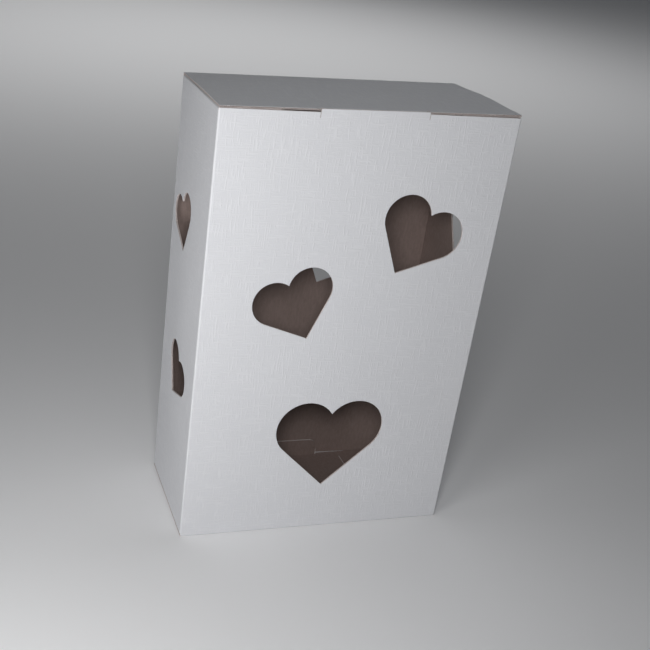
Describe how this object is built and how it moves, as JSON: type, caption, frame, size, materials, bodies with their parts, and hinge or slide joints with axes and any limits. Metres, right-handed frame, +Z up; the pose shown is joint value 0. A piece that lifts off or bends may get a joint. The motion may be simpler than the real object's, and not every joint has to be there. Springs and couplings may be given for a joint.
{
  "type": "wedding card box",
  "caption": "Tall folding box of white embossed board with heart windows in its walls, a hinged tuck-in lid and bottom, and dust flaps.",
  "frame": {"origin": "middle of the base, on the surface that the box stands on", "axes": "+X to the right as seen from the front, +Y from the front to the back, +Z up"},
  "size_m": [0.27, 0.128, 0.416],
  "materials": {
    "board": "white embossed outer face, brown-grey inner face"
  },
  "bodies": {
    "tube": {"front_wall": "board", "right_wall": "board", "back_wall": "board", "left_wall": "board", "glue_flap": "board"},
    "lid": {"lid": "board"},
    "lid_tuck": {"lid_tuck_flap": "board"},
    "lid_left_dust": {"lid_left_dust_flap": "board"},
    "lid_right_dust": {"lid_right_dust_flap": "board"},
    "bottom": {"bottom_panel": "board"},
    "bottom_tuck": {"bottom_tuck_flap": "board"},
    "bottom_left_dust": {"bottom_left_dust_flap": "board"},
    "bottom_right_dust": {"bottom_right_dust_flap": "board"}
  },
  "joints": [
    {"name": "lid_hinge", "type": "hinge", "parent": "tube", "child": "lid", "pos_m": [0, 0.06353, 0.41553], "axis": [-1, 0, 0], "range_deg": [0, 170]},
    {"name": "lid_tuck_fold", "type": "hinge", "parent": "lid", "child": "lid_tuck", "pos_m": [0, -0.0604, 0.4144], "axis": [1, 0, 0], "range_deg": [0, 75], "stiffness_Nm_per_rad": 0.003, "springref_deg": -17.19},
    {"name": "lid_left_dust_fold", "type": "hinge", "parent": "tube", "child": "lid_left_dust", "pos_m": [-0.13453, 0, 0.41363], "axis": [0, -1, 0], "range_deg": [0, 42.5]},
    {"name": "lid_right_dust_fold", "type": "hinge", "parent": "tube", "child": "lid_right_dust", "pos_m": [0.13453, 0, 0.41363], "axis": [0, 1, 0], "range_deg": [0, 42.5]},
    {"name": "bottom_hinge", "type": "hinge", "parent": "tube", "child": "bottom", "pos_m": [0, -0.06353, 0.00047], "axis": [-1, 0, 0], "range_deg": [0, 170]},
    {"name": "bottom_tuck_fold", "type": "hinge", "parent": "bottom", "child": "bottom_tuck", "pos_m": [0, 0.0604, 0.0016], "axis": [1, 0, 0], "range_deg": [0, 75], "stiffness_Nm_per_rad": 0.003, "springref_deg": -17.19},
    {"name": "bottom_left_dust_fold", "type": "hinge", "parent": "tube", "child": "bottom_left_dust", "pos_m": [-0.13453, 0, 0.00237], "axis": [0, 1, 0], "range_deg": [0, 42.5]},
    {"name": "bottom_right_dust_fold", "type": "hinge", "parent": "tube", "child": "bottom_right_dust", "pos_m": [0.13453, 0, 0.00237], "axis": [0, -1, 0], "range_deg": [0, 42.5]}
  ],
  "couplings": [
    {"joint": "lid_left_dust_fold", "follows": "lid_hinge", "ratio": 0.25},
    {"joint": "lid_right_dust_fold", "follows": "lid_hinge", "ratio": 0.25},
    {"joint": "bottom_left_dust_fold", "follows": "bottom_hinge", "ratio": 0.25},
    {"joint": "bottom_right_dust_fold", "follows": "bottom_hinge", "ratio": 0.25}
  ]
}
